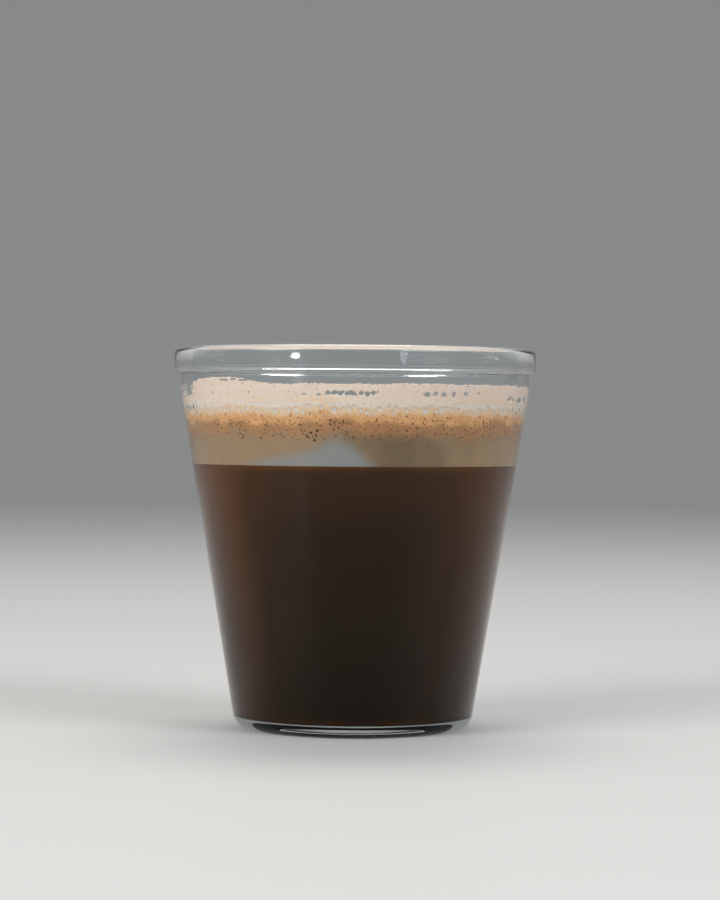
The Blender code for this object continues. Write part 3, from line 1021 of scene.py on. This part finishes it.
class CAPPUCCINO_OT_stage(bpy.types.Operator):
    """Make the pale floor, the soft lamps and the camera"""

    bl_idname = "cappuccino.stage"
    bl_label = "Stage"

    def execute(self, context):
        stage = settings("stage")
        scene = context.scene
        self.add_floor(stage)
        world = bpy.data.worlds.new("surround")
        world.use_nodes = True
        background = world.node_tree.nodes["Background"]
        background.inputs["Color"].default_value = rgba(stage.world)
        background.inputs["Strength"].default_value = stage.world_strength
        scene.world = world
        area_light("key", 7.6, (0.6, 0.6), 52, 28, 1.1, (1.0, 0.99, 0.96))
        area_light("fill", 7.0, (0.6, 0.6), -55, 28, 1.1, (0.98, 0.99, 1.0))
        area_light("overhead", 5.0, (0.7, 0.5), 180, 68, 1.0, (1.0, 0.98, 0.96))
        area_light("spark", 3.0, (0.13, 0.13), 37, 5, 1.2, (1.0, 1.0, 1.0))
        self.add_camera(scene, stage)
        scene.view_settings.view_transform = "Standard"
        return {"FINISHED"}

    def add_floor(self, stage):
        """A round floor whose edge sweeps up: flat, then a quarter of a circle."""
        bend = arc((1.6, 1.2), 1.2, -90, 0, 20)
        profile = np.concatenate([[[0.4, 0.0], [1.0, 0.0]], bend])[::-1]
        rings = ring_points(profile[:, 0], profile[:, 1], 96)
        rows, sides = rings.shape[:2]
        points = np.concatenate([rings.reshape(-1, 3), [[0, 0, 0]]])
        quads = ring_quads(rows, sides)[:, ::-1]
        side = np.arange(sides)
        last = (rows - 1) * sides
        fan = np.stack([np.full(sides, rows * sides), last + side, last + (side + 1) % sides], axis=1)
        floor = mesh_object("floor", points, [quads, fan])
        material, _, shader = new_material("pale_floor", 0.55, 0.3)
        shader.inputs["Base Color"].default_value = rgba(stage.floor)
        floor.data.materials.append(material)

    def add_camera(self, scene, stage):
        data = bpy.data.cameras.new("camera")
        data.lens = stage.lens
        data.clip_start = 0.01
        camera = bpy.data.objects.new("camera", data)
        scene.collection.objects.link(camera)
        turned = Matrix.Rotation(-stage.yaw, 4, "Z") @ Matrix.Rotation(math.pi / 2 - stage.pitch, 4, "X")
        place = Matrix.Translation((0.0, -stage.distance, stage.height))
        camera.matrix_world = place @ turned @ Matrix.Rotation(stage.roll, 4, "Z")
        scene.camera = camera


class CAPPUCCINO_PT_panel(bpy.types.Panel):
    """Lists the pieces of the cappuccino"""

    bl_idname = "CAPPUCCINO_PT_panel"
    bl_label = "Cappuccino"
    bl_space_type = "VIEW_3D"
    bl_region_type = "UI"
    bl_category = "Cappuccino"

    def draw(self, context):
        for operator in PIECES:
            self.layout.operator(operator.bl_idname)


PIECES = (
    CAPPUCCINO_OT_tumbler,
    CAPPUCCINO_OT_coffee,
    CAPPUCCINO_OT_foam,
    CAPPUCCINO_OT_bubbles,
    CAPPUCCINO_OT_froth,
    CAPPUCCINO_OT_stage,
)
SETTINGS = {
    "tumbler": TumblerSettings,
    "coffee": CoffeeSettings,
    "foam": FoamSettings,
    "froth": FrothSettings,
    "stage": StageSettings,
}


def register():
    for name, group in SETTINGS.items():
        bpy.utils.register_class(group)
        setattr(bpy.types.Scene, f"cappuccino_{name}", bpy.props.PointerProperty(type=group))
    for operator in PIECES:
        bpy.utils.register_class(operator)
    bpy.utils.register_class(CAPPUCCINO_PT_panel)


def unregister():
    bpy.utils.unregister_class(CAPPUCCINO_PT_panel)
    for operator in reversed(PIECES):
        bpy.utils.unregister_class(operator)
    for name, group in reversed(SETTINGS.items()):
        delattr(bpy.types.Scene, f"cappuccino_{name}")
        bpy.utils.unregister_class(group)


def main():
    register()
    bpy.ops.cappuccino.tumbler()
    bpy.ops.cappuccino.coffee()
    bpy.ops.cappuccino.foam()
    bpy.ops.cappuccino.bubbles()
    bpy.ops.cappuccino.froth()
    bpy.ops.cappuccino.stage()


if __name__ == "__main__":
    main()
